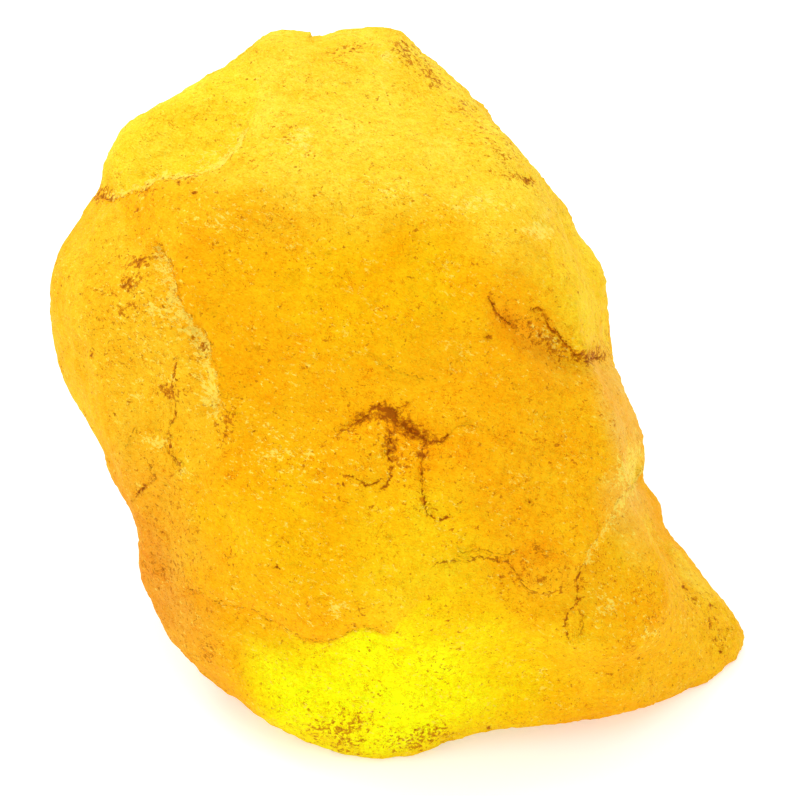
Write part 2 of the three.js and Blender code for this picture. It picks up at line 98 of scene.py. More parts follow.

# ---- Seams: cracks and ledges, as lines on one side's view ----
# width is the groove's half width in mm. depth, in mm too, is more than the groove ever has: GROOVE_SHARE
# and GROOVE_CHANGE say how much of it is cut. stain is how brown the line is, and fill is the half width in
# mm of the granular brown beside it. A ledge also has its low side as the line runs and the height of its
# step in mm. Where its broken wall has a painted highlight, as if it caught the light, pale says how
# strong, and pale_width over how many mm.
SEAMS = [
    dict(
        name="rim of the upper left scar", side="face", width=0.07, depth=0.15, stain=0.45,
        low="left", step=0.35, pale=1.1, pale_width=0.55,
        line=[
            (-19.2, 13.9), (-18.4, 13.9), (-16.9, 14.35), (-16.05, 14.55), (-15.2, 15.2), (-14.4, 15.4),
            (-13.85, 15.3), (-13.25, 15.4), (-12.45, 15.55), (-11.55, 15.85), (-10.95, 16.1),
            (-10.15, 16.8), (-9.45, 17.7), (-9.1, 18.4), (-8.65, 19.1),
        ],
    ),
    dict(
        name="left ledge", side="face", width=0.05, depth=0.12, stain=0.6,
        low="right", step=0.4, pale=0.9, pale_width=1.7,
        line=[
            (-15.85, 10.8), (-15.05, 10.9), (-14.55, 10.35), (-14.15, 9.5), (-13.8, 8.35),
            (-13.65, 7.2), (-13.25, 6.4), (-12.6, 5.6), (-11.9, 4.9), (-11.55, 4.3), (-11.5, 3.15),
            (-11.15, 2.3), (-10.95, 1.45), (-10.8, 0.5), (-10.6, -1.0),
        ],
    ),
    dict(
        name="inner left line", side="face", width=0.05, depth=0.15, stain=0.85, fill=0.1,
        low="right", step=0.15,
        line=[
            (-13.75, 3.45), (-14.1, 1.15), (-13.85, 0.55), (-14.0, -0.8), (-14.35, -1.7), (-14.2, -3.4),
            (-13.65, -3.9), (-13.4, -4.7),
        ],
    ),
    dict(
        name="lower left crease", side="face", width=0.09, depth=0.2, stain=0.7, fill=0.2,
        line=[(-16.85, -6.6), (-16.4, -5.9), (-15.7, -5.35), (-15.1, -5.2)],
    ),
    dict(
        name="line over the foot", side="face", width=0.05, depth=0.12, stain=0.75,
        low="right", step=0.3,
        line=[
            (-13.65, -12.3), (-12.1, -12.85), (-11.3, -13.35), (-10.15, -13.65), (-9.1, -13.75),
            (-8.45, -14.0), (-7.75, -14.55), (-6.85, -14.95), (-6.05, -15.45), (-5.15, -16.0),
            (-4.35, -16.1), (-3.2, -16.0), (-2.2, -15.45), (-1.15, -15.1), (-0.5, -15.25), (0.4, -15.7),
        ],
    ),
    dict(
        name="left arm of the stained crack", side="face", width=0.12, depth=0.3, stain=0.8, fill=0.22,
        line=[(-3.2, -2.05), (-2.2, -1.5), (-1.15, -0.8), (0.05, -0.05), (0.55, 0.05)],
    ),
    dict(
        name="right arm of the stained crack", side="face", width=0.16, depth=0.35, stain=0.85,
        fill=0.28,
        line=[
            (0.55, 0.05), (1.15, -0.8), (1.85, -1.7), (2.7, -2.2), (3.55, -2.45), (4.2, -2.4),
            (5.1, -1.7),
        ],
    ),
    dict(
        name="left leg of the stained crack", side="face", width=0.1, depth=0.25, stain=0.9, fill=0.2,
        line=[
            (1.1, -0.9), (0.6, -1.7), (0.7, -2.2), (0.55, -3.35), (0.75, -4.2), (0.6, -5.25),
            (-0.25, -6.2),
        ],
    ),
    dict(
        name="right leg of the stained crack", side="face", width=0.06, depth=0.22, stain=0.85,
        fill=0.1,
        line=[
            (3.15, -2.4), (2.8, -3.55), (2.8, -4.7), (2.9, -6.05), (3.2, -7.3), (3.9, -7.95),
            (4.75, -7.6), (5.45, -7.55),
        ],
    ),
    dict(
        name="fork of the right arm", side="face", width=0.04, depth=0.08, stain=0.45,
        line=[(4.3, -2.4), (5.1, -1.55), (6.1, -1.35), (7.0, -1.7), (7.95, -1.95), (9.4, -2.4)],
    ),
    dict(
        name="lower side of the right crack", side="face", width=0.08, depth=0.25, stain=0.85,
        fill=0.14,
        line=[(7.1, 7.9), (7.35, 7.4), (7.95, 6.2), (8.3, 5.9), (9.1, 5.5), (9.6, 4.9)],
    ),
    dict(
        name="faint end of the right crack", side="face", width=0.06, depth=0.12, stain=0.5,
        line=[(9.1, 5.5), (9.85, 4.6), (10.7, 4.2), (11.2, 3.6), (12.3, 3.2), (13.4, 3.25)],
    ),
    dict(
        name="upper side of the right crack", side="face", width=0.08, depth=0.25, stain=0.85,
        fill=0.14,
        low="right", step=0.2,
        line=[
            (9.9, 6.2), (10.3, 6.5), (10.75, 6.6), (11.05, 6.3), (11.3, 5.85), (11.4, 5.5),
            (12.15, 4.7), (13.0, 3.8), (13.4, 3.35), (14.0, 3.6), (14.55, 3.75),
        ],
    ),
    dict(
        name="mouth of the right crack", side="face", width=0.14, depth=0.3, stain=1.0, fill=0.3,
        line=[(13.4, 3.4), (14.0, 3.05), (14.8, 3.25), (15.65, 3.35)],
    ),
    dict(
        name="plateau's tongue", side="face", width=0.06, depth=0.12, stain=1.0,
        low="right", step=0.15,
        line=[
            (3.2, -11.3), (3.9, -10.8), (5.1, -10.6), (6.25, -10.45), (7.05, -10.35), (7.95, -10.55),
            (8.65, -10.8), (9.3, -11.3), (9.65, -12.1), (10.15, -12.65), (11.0, -12.85), (11.7, -12.8),
            (12.25, -12.5),
        ],
    ),
    dict(
        name="over the tongue", side="face", width=0.04, depth=0.08, stain=0.85,
        line=[
            (4.9, -10.0), (5.8, -10.0), (6.75, -9.8), (7.6, -10.05), (8.45, -10.15), (9.45, -10.0),
            (10.8, -9.8), (11.85, -9.8),
        ],
    ),
    dict(
        name="ridge over the wing", side="face", width=0.04, depth=0.05, stain=0.3,
        low="right", step=0.3, pale=0.9, pale_width=0.6,
        line=[
            (13.6, -11.2), (14.0, -10.45), (14.35, -9.45), (14.9, -8.75), (15.55, -7.75), (16.25, -6.4),
            (17.25, -5.25), (17.75, -4.4), (18.35, -3.4),
        ],
    ),
    dict(
        name="crack down the wing", side="face", width=0.1, depth=0.15, stain=0.9, fill=0.1,
        line=[
            (13.85, -10.95), (13.35, -11.85), (13.45, -12.85), (13.45, -13.4), (12.85, -14.0),
            (12.6, -14.7), (12.7, -15.5), (13.1, -16.4),
        ],
    ),
    dict(
        name="loop at the end of the wing's crack", side="face", width=0.05, depth=0.05, stain=0.6,
        line=[(13.4, -13.3), (13.75, -14.4), (13.65, -15.4), (13.1, -16.4)],
    ),
    dict(
        name="hairline over the stained crack", side="face", width=0.03, depth=0.08, stain=0.6,
        line=[(-0.95, 3.75), (-0.35, 3.15), (0.55, 2.5), (1.35, 2.25), (4.1, 1.35)],
    ),
    dict(
        name="hairline below the left arm", side="face", width=0.06, depth=0.1, stain=0.85, fill=0.1,
        line=[(-3.1, -4.7), (-2.05, -4.9), (-1.45, -5.0), (-1.0, -5.45), (-0.3, -5.3), (0.6, -5.0)],
    ),
    dict(
        name="mark at the top right", side="face", width=0.07, depth=0.1, stain=0.9,
        line=[(9.1, 15.45), (9.8, 15.45), (10.7, 14.95)],
    ),
    dict(
        name="arc on the left facet", side="face", width=0.04, depth=0.06, stain=0.65,
        line=[
            (-17.5, -3.2), (-17.0, -2.4), (-16.4, -1.3), (-15.4, -1.3), (-14.45, -2.0), (-14.0, -2.6),
        ],
    ),
    dict(
        name="under the arc", side="face", width=0.05, depth=0.1, stain=0.75,
        line=[(-16.5, -2.8), (-16.1, -3.4), (-15.55, -4.2), (-15.2, -5.0), (-15.9, -5.6)],
    ),
    dict(
        name="right of the arc", side="face", width=0.04, depth=0.08, stain=0.6,
        line=[(-14.6, -3.2), (-14.0, -3.9), (-13.4, -4.4), (-13.1, -5.2)],
    ),
    dict(
        name="notch in the top edge", side="face", width=0.1, depth=0.0, stain=0.0,
        low="left", step=0.3,
        line=[(-4.7, 27.0), (-4.7, 25.0), (-4.8, 24.4)],
    ),
    dict(
        name="long crack of the back", side="back", width=0.12, depth=0.3, stain=0.9, fill=0.3,
        line=[(-12.0, -6.5), (-9.4, -5.2), (-7.8, -6.2), (-4.6, -4.4), (-2.6, -5.4), (0.4, -4.6)],
    ),
    dict(
        name="ledge of the back scar", side="back", width=0.06, depth=0.15, stain=0.7,
        low="right", step=0.3, pale=0.8, pale_width=0.9,
        line=[
            (11.0, -1.4), (8.4, 0.2), (5.2, -0.6), (2.6, -2.0), (-0.8, -1.6), (-4.0, -3.0),
            (-7.6, -1.2), (-9.4, 1.0), (-13.0, 2.0),
        ],
    ),
    dict(
        name="lower ledge of the back", side="back", width=0.06, depth=0.15, stain=0.7,
        low="right", step=0.3, pale=0.5, pale_width=0.8,
        line=[(0.5, -5.2), (2.2, -4.6), (4.6, -5.6), (6.4, -5.0), (9.6, -6.4), (12.0, -5.6)],
    ),
    dict(
        name="ledge of the left side", side="left", width=0.07, depth=0.16, stain=0.6,
        low="right", step=0.3, pale=0.8, pale_width=0.9,
        line=[(-8.5, 6.2), (-6.0, 5.2), (-4.6, 3.2), (-2.0, 2.6), (-0.4, 0.6), (2.4, 0.2), (4.6, -2.6)],
    ),
    dict(
        name="ledge of the right side", side="right", width=0.07, depth=0.18, stain=0.6,
        low="right", step=0.3, pale=0.8, pale_width=0.9,
        line=[(15.5, -3.5), (13.2, -2.4), (11.6, 0.4), (9.0, 1.0), (7.4, 3.4), (4.2, 4.6), (2.4, 7.4)],
    ),
]
LOW_SIDE = {"left": -1, "right": 1}
NO_SEAM = 9.0  # mm off, at vertices with no seam near
SEAM_REACH = (0.2, 0.4)  # mm off, over which a seam's brown ends
FILL_STAIN = 0.75
PALE_EDGE = 0.08  # mm, on each side of a ledge's line, over which the painted highlight on its wall begins

# ---- Soft patches, each an oval on a side's view: centre, half lengths, turn of the first in degrees, and
# strength ----
STAINS = [
    ("apex of the stained crack", "face", (0.5, -0.6), (1.1, 0.75), -10, 1.6),
    ("right arm's stain", "face", (2.1, -1.65), (1.6, 0.6), -36, 1.25),
    ("left arm's stain", "face", (-1.0, -1.0), (1.7, 0.45), 30, 0.95),
    ("left leg's stain", "face", (0.8, -2.4), (0.5, 1.9), 5, 0.95),
    ("between the legs", "face", (1.8, -3.8), (1.2, 2.0), 0, 0.36),
    ("right leg's stain", "face", (2.95, -3.0), (0.4, 1.5), 0, 0.8),
    ("right crack's stain", "face", (11.2, 4.6), (3.0, 0.8), -36, 0.6),
    ("upper end of the right crack", "face", (8.6, 6.0), (0.8, 0.4), -40, 0.45),
    ("mouth of the right crack", "face", (14.0, 3.3), (1.6, 0.6), 0, 0.9),
    ("upper streak of the left scar", "face", (-16.2, 9.9), (1.2, 0.45), 18, 0.9),
    ("middle streak of the left scar", "face", (-16.9, 8.2), (1.0, 0.6), 40, 0.8),
    ("lower streak of the left scar", "face", (-17.3, 6.6), (0.8, 0.6), 30, 0.6),
    ("foot of the left scar", "face", (-14.3, 0.9), (1.0, 0.6), -15, 0.75),
    ("dots on the left ledge", "face", (-12.0, 3.7), (0.7, 0.6), 0, 0.6),
    ("beside the left ledge", "face", (-10.4, -1.2), (0.5, 1.8), 0, 0.6),
    ("corner of the upper left scar", "face", (-18.7, 14.3), (0.9, 0.6), 0, 0.95),
    ("rim of the upper left scar, middle", "face", (-16.4, 14.5), (1.0, 0.25), 20, 0.7),
    ("rim of the upper left scar, right", "face", (-13.4, 15.4), (0.9, 0.25), 0, 0.8),
    ("below the upper left scar", "face", (-10.8, 11.3), (1.2, 0.7), 20, 0.3),
    ("lower left edge", "face", (-15.0, -11.2), (1.0, 1.2), 60, 0.5),
    ("lower left spot", "face", (-12.0, -17.0), (0.8, 0.6), 0, 0.55),
    ("left of the foot", "face", (-10.1, -10.3), (0.6, 1.2), 0, 0.35),
    ("knot of the wing crack", "face", (13.7, -11.5), (0.6, 1.2), 0, 0.5),
    ("left of the knot", "face", (12.2, -12.5), (0.7, 0.5), 30, 0.6),
    ("tongue", "face", (10.4, -11.4), (2.6, 1.4), 10, 0.36),
    ("tongue's rim", "face", (10.2, -12.0), (0.8, 1.0), 0, 0.4),
    ("top edge", "face", (-2.0, 24.2), (1.2, 0.4), 10, 0.8),
    ("top right edge", "face", (1.7, 24.0), (1.6, 0.7), -35, 0.6),
    ("upper right patch", "face", (3.5, 22.4), (1.3, 0.8), -45, 0.62),
    ("upper right spot", "face", (5.7, 20.2), (0.6, 0.5), 0, 0.55),
    ("upper right edge", "face", (8.3, 17.1), (1.2, 0.5), -40, 0.6),
    ("line of the upper right edge", "face", (9.8, 15.3), (1.1, 0.4), -15, 0.7),
    ("foot cluster", "face", (-2.4, -21.9), (1.9, 1.5), 0, 0.55),
    ("foot cluster, left", "face", (-4.3, -22.2), (1.2, 0.8), 0, 0.5),
    ("foot cluster, low", "face", (-2.4, -23.4), (1.6, 0.5), 0, 0.5),
    ("foot cluster, right", "face", (2.9, -22.6), (2.6, 0.9), 12, 0.65),
    ("wing tip", "face", (23.0, -15.2), (1.0, 2.4), 20, 0.3),
    ("wing's upper edge", "face", (20.8, -12.8), (0.7, 1.0), 30, 0.28),
    ("pinkish top", "face", (-6.0, 18.4), (0.7, 1.0), 0, 0.35),
    ("reddish top", "face", (1.4, 14.8), (0.6, 1.1), 20, 0.3),
    ("over the foot's line", "face", (-1.6, -14.3), (1.2, 0.5), 0, 0.35),
    ("back, upper", "back", (4.0, 9.0), (1.6, 0.7), 30, 0.6),
    ("back, middle", "back", (-6.0, -3.0), (2.2, 0.8), -20, 0.7),
    ("back, low", "back", (6.0, -9.0), (1.8, 0.8), 10, 0.6),
    ("back, foot", "back", (-3.0, -11.0), (2.2, 0.9), -15, 0.6),
    ("back, right", "back", (10.0, 4.0), (1.0, 2.0), 10, 0.55),
    ("left side, low", "left", (-5.0, -5.0), (1.4, 0.7), 20, 0.5),
    ("right side, upper", "right", (8.0, 2.4), (1.6, 0.6), 30, 0.6),
    ("right side, low", "right", (-3.0, -8.0), (1.5, 0.7), 0, 0.5),
    # specks over a wide patch
    ("left facet", "face", (-17.3, 6.5), (4.0, 5.0), 0, 0.22),
    ("below the top", "face", (-10.0, 12.0), (6.0, 2.5), -10, 0.12),
    ("right of the middle", "face", (9.0, -4.0), (7.0, 7.0), 0, 0.1),
    ("lower left", "face", (-14.3, -9.5), (2.5, 6.5), 12, 0.24),
    ("middle", "face", (-3.0, 2.0), (7.0, 7.0), 0, 0.05),
    ("foot", "face", (-2.0, -20.5), (8.0, 3.5), 0, 0.06),
    ("right of the foot", "face", (3.6, -18.6), (2.0, 4.0), -20, 0.15),
    ("wing", "face", (19.0, -15.0), (6.0, 6.0), 0, 0.1),
    ("top", "face", (-3.0, 18.5), (8.0, 5.0), -20, 0.08),
    ("upper right", "face", (7.5, 19.0), (5.0, 2.0), -48, 0.26),
    ("back", "back", (0.0, 0.0), (18.0, 14.0), 0, 0.15),
    ("left side", "left", (0.0, 0.0), (14.0, 12.0), 0, 0.15),
    ("right side", "right", (0.0, 0.0), (14.0, 12.0), 0, 0.15),
]
SPOT_STAIN = 1.1
SPOT_WARP = 0.3  # the share of the patches' raggedness that a spot has
# small dark spots on the face: across, up and half width, in mm
SPOTS = [
    (-12.6, 14.4, 0.14), (7.3, 4.6, 0.16), (-8.6, -1.8, 0.14), (-6.1, -5.6, 0.15), (1.9, 0.0, 0.17),
    (5.1, -0.2, 0.13), (-1.0, -3.4, 0.15), (-0.6, -3.3, 0.12), (-2.9, -5.4, 0.14), (-2.5, -5.4, 0.14),
    (4.6, -14.6, 0.12), (-13.5, -16.8, 0.13), (-7.0, -11.0, 0.1), (-6.4, 14.2, 0.12), (-9.4, 9.8, 0.12),
    (2.4, 12.0, 0.1), (6.2, 9.6, 0.12), (10.2, -6.6, 0.12), (12.6, -2.2, 0.1), (14.9, -4.9, 0.14),
    (-16.5, 13.2, 0.12), (-4.0, 6.6, 0.1), (9.0, 1.2, 0.1), (-10.8, -7.6, 0.12), (20.6, -12.3, 0.16),
    (21.3, -13.2, 0.15), (22.5, -13.6, 0.13), (22.5, -14.9, 0.16), (23.7, -15.2, 0.12),
    (23.2, -16.7, 0.14), (7.4, -22.0, 0.16), (-0.2, -19.6, 0.12), (3.3, -18.1, 0.1),
    (16.4, -10.4, 0.12), (17.6, -17.2, 0.12), (-18.0, -0.6, 0.12), (-19.6, 3.4, 0.12),
    (-12.8, 4.55, 0.16), (-12.1, 3.95, 0.18), (-12.2, 3.43, 0.16), (-11.8, 3.4, 0.16),
    (-14.75, 6.8, 0.16), (-11.1, -1.35, 0.16), (-10.4, -1.15, 0.18), (-10.3, -0.65, 0.14),
]
# pale patches: pale crystal skin, and painted highlights where crystals and broken walls catch the light
PALE = [
    ("strokes in the left scar", "face", (-14.9, 6.5), (1.8, 1.0), -20, 0.85),
    ("left ledge, lower part", "face", (-11.7, 0.6), (0.9, 2.8), 8, 0.8),
    ("rim of the upper left scar", "face", (-11.3, 17.0), (1.6, 0.6), 38, 0.6),
    ("between the legs", "face", (1.7, -3.9), (1.0, 2.2), 5, 0.45),
    ("inside the right crack", "face", (11.6, 4.6), (1.9, 0.5), -36, 0.8),
    ("ridge over the wing, top", "face", (17.0, -4.2), (0.9, 1.9), -15, 1.0),
    ("ridge over the wing, middle", "face", (16.4, -6.9), (0.5, 1.9), -38, 0.8),
    ("top left glints", "face", (-5.3, 18.2), (0.9, 1.6), -10, 0.85),
    ("top corner", "face", (0.3, 23.8), (0.8, 0.5), -20, 1.0),
    ("top right glints", "face", (10.6, 11.9), (1.4, 0.6), -20, 1.0),
    ("top right glints, left", "face", (6.3, 14.2), (1.2, 0.6), 15, 0.7),
    ("upper right glint", "face", (5.5, 18.6), (0.6, 0.4), 0, 0.7),
    ("right rim glint", "face", (11.4, 13.0), (0.6, 0.5), 0, 0.8),
    ("band's lower edge", "face", (1.0, 14.4), (3.2, 1.0), -18, 0.6),
    ("band's lower edge, right", "face", (6.4, 13.6), (2.6, 1.0), -5, 0.75),
    ("band's lower edge, left", "face", (-6.4, 13.4), (3.0, 1.0), -12, 0.3),
    ("dashes left of the middle", "face", (-7.0, 1.9), (1.2, 0.4), 5, 0.7),
    ("dashes below the middle", "face", (-7.5, -3.6), (2.8, 1.0), -8, 0.55),
    ("glint below the middle", "face", (-5.0, -3.4), (0.8, 0.3), -15, 0.9),
    ("foot's crystals", "face", (-2.9, -13.8), (0.8, 0.5), 20, 0.9),
    ("foot's pink skin", "face", (-6.5, -15.3), (1.0, 0.5), -25, 0.5),
    ("left hollow", "face", (-18.2, 1.4), (1.4, 0.6), 10, 0.55),
    ("inside the arc", "face", (-15.4, -2.4), (1.0, 0.7), 0, 0.8),
    ("over the arc", "face", (-16.4, 0.6), (1.0, 0.5), -15, 0.8),
    ("knob on the left facet", "face", (-14.6, 1.8), (0.6, 0.5), 0, 0.8),
    ("crystal right of the arc", "face", (-13.4, -4.7), (0.4, 0.35), 0, 1.2),
    ("left facet", "face", (-16.5, 5.0), (3.5, 5.0), 0, 0.42),
    ("below the middle", "face", (-6.5, -4.0), (5.5, 3.0), -8, 0.4),
    ("under the top", "face", (-11.0, 12.5), (3.0, 1.5), 0, 0.45),
    ("above the foot", "face", (-5.0, -12.5), (5.0, 2.5), 0, 0.35),
    ("wing, middle", "face", (17.5, -14.0), (4.0, 4.0), 0, 0.25),
    ("wing's spots", "face", (15.6, -13.6), (1.3, 1.3), 0, 0.7),
    ("wing's spot, right", "face", (20.8, -14.4), (0.6, 0.4), 0, 0.7),
    ("wing's spot, middle", "face", (18.3, -15.6), (0.7, 0.35), -10, 0.8),
    ("wing's spot, low", "face", (19.4, -19.2), (0.9, 0.3), 15, 0.5),
    ("foot of the wing", "face", (10.9, -18.4), (0.7, 0.5), 0, 0.7),
    ("back top", "back", (2.0, 12.0), (2.6, 1.2), 20, 0.6),
    ("back, left", "back", (-9.0, 3.5), (3.0, 1.2), 15, 0.65),
    ("back, low", "back", (2.0, -9.5), (3.5, 1.2), -8, 0.6),
    ("left side, low", "left", (1.5, -6.0), (2.8, 1.1), 10, 0.6),
    ("right side, low", "right", (2.0, -7.5), (2.8, 1.0), -12, 0.6),
]

# ---- Colour zones: oval, softness of its edge in mm, the colour there, which is the stone's own except where
# a zone is marked as painted light or shade, and the line, if any, that cuts it off, with the zone on the
# line's right or left ----
ZONE_EDGE = (-0.1, 0.25)  # mm past the line, over which a zone that it cuts off begins
LINES = {seam["name"]: seam["line"] for seam in SEAMS}
RIM_EDGE = [(-32, 13.0), *LINES["rim of the upper left scar"], (-8.0, 22), (-7, 40)]
LEFT_EDGE = [(-22, 30), (-17, 11.6), *LINES["left ledge"], (-10.4, -4), (-11, -40)]
FOOT_EDGE = [(-40, -8), *LINES["line over the foot"], (2.6, -13.5), (9, -9), (30, -6)]
TONGUE_EDGE = [(-30, -12), *LINES["plateau's tongue"], (13.6, -11.2), (30, 8)]
BODY_COLOUR = (0.98, 0.475, 0.003)  # linear RGB, as are all colours here
PALE_AND_HIGHLIGHT = (1.0, 0.83, 0.12, 1)  # of the pale crystal skin, and of its painted highlights
GLINT_FLECK = (1.0, 0.76, 0.09, 1)  # of the small light flecks, painted glints
BROWN = (0.54, 0.16, 0.002, 1)  # of the stains
DARK_BROWN = (0.28, 0.05, 0.002, 1)  # of the stains' middle, and of the seams
DIRT = (0.72, 0.4, 0.1, 1)  # what thin lines and specks leave of the colour under them
ZONES = [
    # painted light: the top band is lighter and paler yellow where the top faces the light
    ("top band", "face", (-2.0, 19.3), (19.0, 8.3), -16, 2.5, (0.98, 0.67, 0.03), None),
    ("below the upper left scar", "face", (-13.5, 12.6), (6.5, 2.6), 12, 1.2, (0.98, 0.5, 0.006),
     (RIM_EDGE, "right")),
    ("upper left scar", "face", (-14.5, 19.0), (7.0, 5.0), 32, 1.2, (0.98, 0.69, 0.022),
     (RIM_EDGE, "left")),
    ("upper middle", "face", (0.5, 8.5), (8.0, 4.5), -10, 3.0, (0.98, 0.53, 0.002), None),
    ("left facet", "face", (-17.5, 5.0), (8.5, 11.0), 0, 2.0, (0.98, 0.545, 0.012),
     (LEFT_EDGE, "right")),
    ("right", "face", (11.0, -2.0), (8.0, 8.0), 0, 3.0, (0.97, 0.475, 0.004), None),
    # painted shade: darker orange around the right crack, where its hollow is in shade
    ("around the right crack", "face", (11.4, 4.3), (4.6, 1.5), -36, 1.0, (0.98, 0.42, 0.006), None),
    # painted sheen: paler, lighter yellow along the right rim, for the reflection off its grazing edge
    ("right rim", "face", (14.6, 8.0), (3.0, 5.5), 0, 1.8, (0.98, 0.66, 0.015), None),
    ("wing", "face", (18.0, -14.0), (7.0, 7.5), 0, 2.0, (0.98, 0.51, 0.005), None),
    ("lower left edge", "face", (-15.3, -11.5), (2.6, 7.5), 20, 2.0, (0.86, 0.36, 0.02), None),
    ("lower middle", "face", (-5.5, -9.0), (7.5, 5.0), -10, 3.0, (0.98, 0.52, 0.002), None),
    ("below the stained crack", "face", (2.5, -11.0), (4.0, 4.0), 0, 3.0, (0.98, 0.62, 0.005), None),
    # painted glow: lighter yellow around the foot, as if light shone through it
    ("around the foot", "face", (2.2, -18.5), (9.6, 5.5), 4, 2.4, (0.98, 0.71, 0.002),
     (FOOT_EDGE, "right")),
    # painted glow: the foot is lemon yellow, as if light shone through the thin foot
    ("foot", "face", (-1.2, -19.4), (6.9, 4.4), 4, 1.7, (0.98, 0.98, 0.002), (FOOT_EDGE, "right")),
    ("tongue", "face", (10.8, -11.6), (2.4, 1.6), 20, 0.8, (0.96, 0.45, 0.005), (TONGUE_EDGE, "left")),
    # painted sheen: a paler, pinkish slope at the plateau's right edge, for the reflection off the grazing
    # slope
    ("right edge of the plateau", "face", (16.4, -3.0), (1.5, 5.5), 8, 1.2, (0.96, 0.54, 0.06), None),
    # painted glow: the thin strip is lighter, as if light shone through it
    ("strip behind the wing", "face", (21.2, -9.0), (1.4, 7.0), 36, 0.6, (0.98, 0.64, 0.03), None),
    ("tip of the wing", "face", (23.2, -15.5), (2.2, 3.5), 0, 1.5, (0.98, 0.54, 0.008), None),
]


def frame_of(azimuth, elevation):
    """Across, up and outward directions of a side, seen from that azimuth (0 is -Y, 90 is +X)."""
    az, el = math.radians(azimuth), math.radians(elevation)
    out = np.array([math.sin(az) * math.cos(el), -math.cos(az) * math.cos(el), math.sin(el)])
    across = np.cross([0.0, 0.0, 1.0], out)
    across /= np.linalg.norm(across)
    return across, np.cross(out, across), out


# each side's directions, and the distance in mm that it is seen from
SIDES = {
    "face": (frame_of(0, FACE_TILT), SIGHT_DISTANCE),
    "back": (frame_of(185, 20), math.inf),
    "left": (frame_of(262, 5), math.inf),
    "right": (frame_of(98, 12), math.inf),
}
OUT_OF_FACE = SIDES["face"][0][2]
FACING = (-8.0, -1.0)  # mm of outward depth over which a side's features come in
FACE_REACH = (-5.0, -1.0)  # mm of depth, seen from the face, over which the other sides' features end


def smoothstep(x, low, high):
    """0 up to the low limit, 1 from the high one, and smooth between them."""
    t = np.clip((x - low) / (high - low), 0, 1)
    return t * t * (3 - 2 * t)


def noise_at(points, length, seed):
    """Perlin noise, -1 to 1, at points in mm."""
    places = (points / length + seed).tolist()
    return np.array([noise.noise(p) for p in places])


def fractal_at(points, length, seed, octaves=3):
    """Noise with finer and weaker noise on it, each of half the length and strength."""
    total = np.zeros(len(points))
    for octave in range(octaves):
        total += noise_at(points, length / 2**octave, seed + octave) / 2**octave
    return total


def warp_at(points, length, reach, seeds):
    """Sideways shifts in mm, as [across, up], that make lines and borders ragged."""
    return np.stack([fractal_at(points, length, seed) for seed in seeds], 1) * reach


def seam_warp(points):
    return warp_at(points, length=0.9, reach=LINE_WANDER, seeds=(3.7, 8.9))


def seen_from(side, points):
    """Places [across, up] on a side's view, and how far the points face that side, 0 to 1."""
    (across, up, out), distance = SIDES[side]
    q = points - HEART
    depth = q @ out
    near = 1 - depth / distance
    places = np.stack([q @ across / near, q @ up / near], 1)
    facing = smoothstep(depth, *FACING)
    if side != "face":
        facing *= 1 - smoothstep(q @ OUT_OF_FACE, *FACE_REACH)
    return places, facing


def beside_line(line, places):
    """Distance to an open line, side of it (right is 1), and distance along it from its nearer end."""
    best = np.full(len(places), np.inf)
    side = np.zeros(len(places))
    along = np.zeros(len(places))
    run = 0.0
    for start, end in zip(np.array(line[:-1], float), np.array(line[1:], float)):
        edge = end - start
        length = np.linalg.norm(edge)
        out = places - start
        t = np.clip(out @ edge / length**2, 0, 1)
        off = np.linalg.norm(out - t[:, None] * edge, axis=1)
        closer = off < best
        best[closer] = off[closer]
        side[closer] = np.sign(out[:, 0] * edge[1] - out[:, 1] * edge[0])[closer]
        along[closer] = run + t[closer] * length
        run += length
    return best, side, np.minimum(along, run - along)


def oval(places, centre, radii, turn):
    """How far out places lie in an oval: 0 at its centre, 1 on its edge."""
    angle = math.radians(turn)
    dx, dy = (places - np.array(centre)).T
    first = (dx * math.cos(angle) + dy * math.sin(angle)) / radii[0]
    second = (dy * math.cos(angle) - dx * math.sin(angle)) / radii[1]
    return np.hypot(first, second)


# ---- Mesh ----
def coords(mesh):
    """The vertices' places in mm."""
    co = np.empty(len(mesh.vertices) * 3, np.float32)
    mesh.vertices.foreach_get("co", co)
    return co.reshape(-1, 3).astype(float) / MM


def set_coords(mesh, points):
    mesh.vertices.foreach_set("co", (points * MM).astype(np.float32).ravel())
    mesh.update()


def normals(mesh):
    no = np.empty(len(mesh.vertices) * 3, np.float32)
    mesh.vertices.foreach_get("normal", no)
    return no.reshape(-1, 3).astype(float)


def apply_modifiers(piece):
    depsgraph = bpy.context.evaluated_depsgraph_get()
    made = bpy.data.meshes.new_from_object(piece.evaluated_get(depsgraph))
    piece.modifiers.clear()
    piece.data = made


def even_stone():
    """The solid as an even, smooth mesh."""
    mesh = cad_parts[NODE].data.copy()
    mesh.materials.clear()
    piece = bpy.data.objects.new("sapphire_stone", mesh)
    bpy.context.scene.collection.objects.link(piece)
    bm = bmesh.new()
    bm.from_mesh(mesh)
    bmesh.ops.remove_doubles(bm, verts=bm.verts, dist=1e-3 * MM)
    bm.to_mesh(mesh)
    bm.free()
    rounding = piece.modifiers.new("rounding", "SUBSURF")
    rounding.levels = 2
    remesh = piece.modifiers.new("remesh", "REMESH")
    remesh.mode = "VOXEL"
    remesh.voxel_size = VOXEL * MM
    smooth = piece.modifiers.new("smooth", "SMOOTH")
    smooth.factor = 0.5
    smooth.iterations = 3
    apply_modifiers(piece)
    return piece


